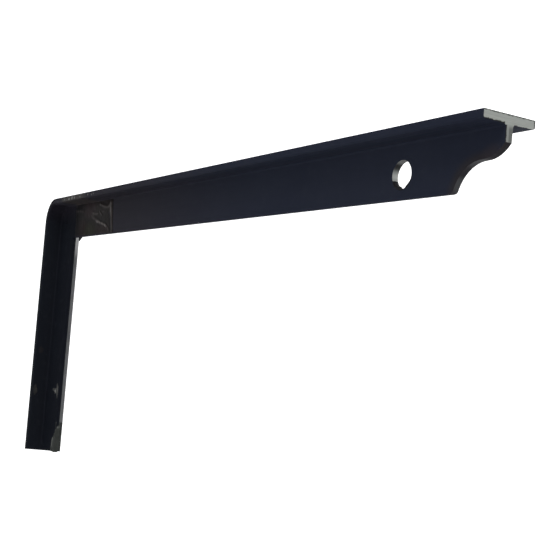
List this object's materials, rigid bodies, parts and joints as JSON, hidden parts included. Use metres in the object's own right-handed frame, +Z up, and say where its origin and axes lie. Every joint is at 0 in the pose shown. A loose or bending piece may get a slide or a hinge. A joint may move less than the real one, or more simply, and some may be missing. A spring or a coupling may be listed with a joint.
{
  "type": "shelf bracket",
  "caption": "L-shaped shelf bracket bent from steel T section, with a rounded outer corner, a mitred web, an ogee-cut web end and a round hole through the web near the tip.",
  "frame": {"origin": "on the wall face at mid width, 100 mm below the shelf plane", "axes": "+X out from the wall along the shelf arm, +Y across the bracket's width, +Z up towards the shelf"},
  "size_m": [0.5, 0.0286, 0.202],
  "materials": {
    "paint": "satin blue-black paint over rolled steel, bare where it is sawn at the tip and inside the hole"
  },
  "bodies": {
    "root": {"bracket": "paint"}
  },
  "joints": []
}
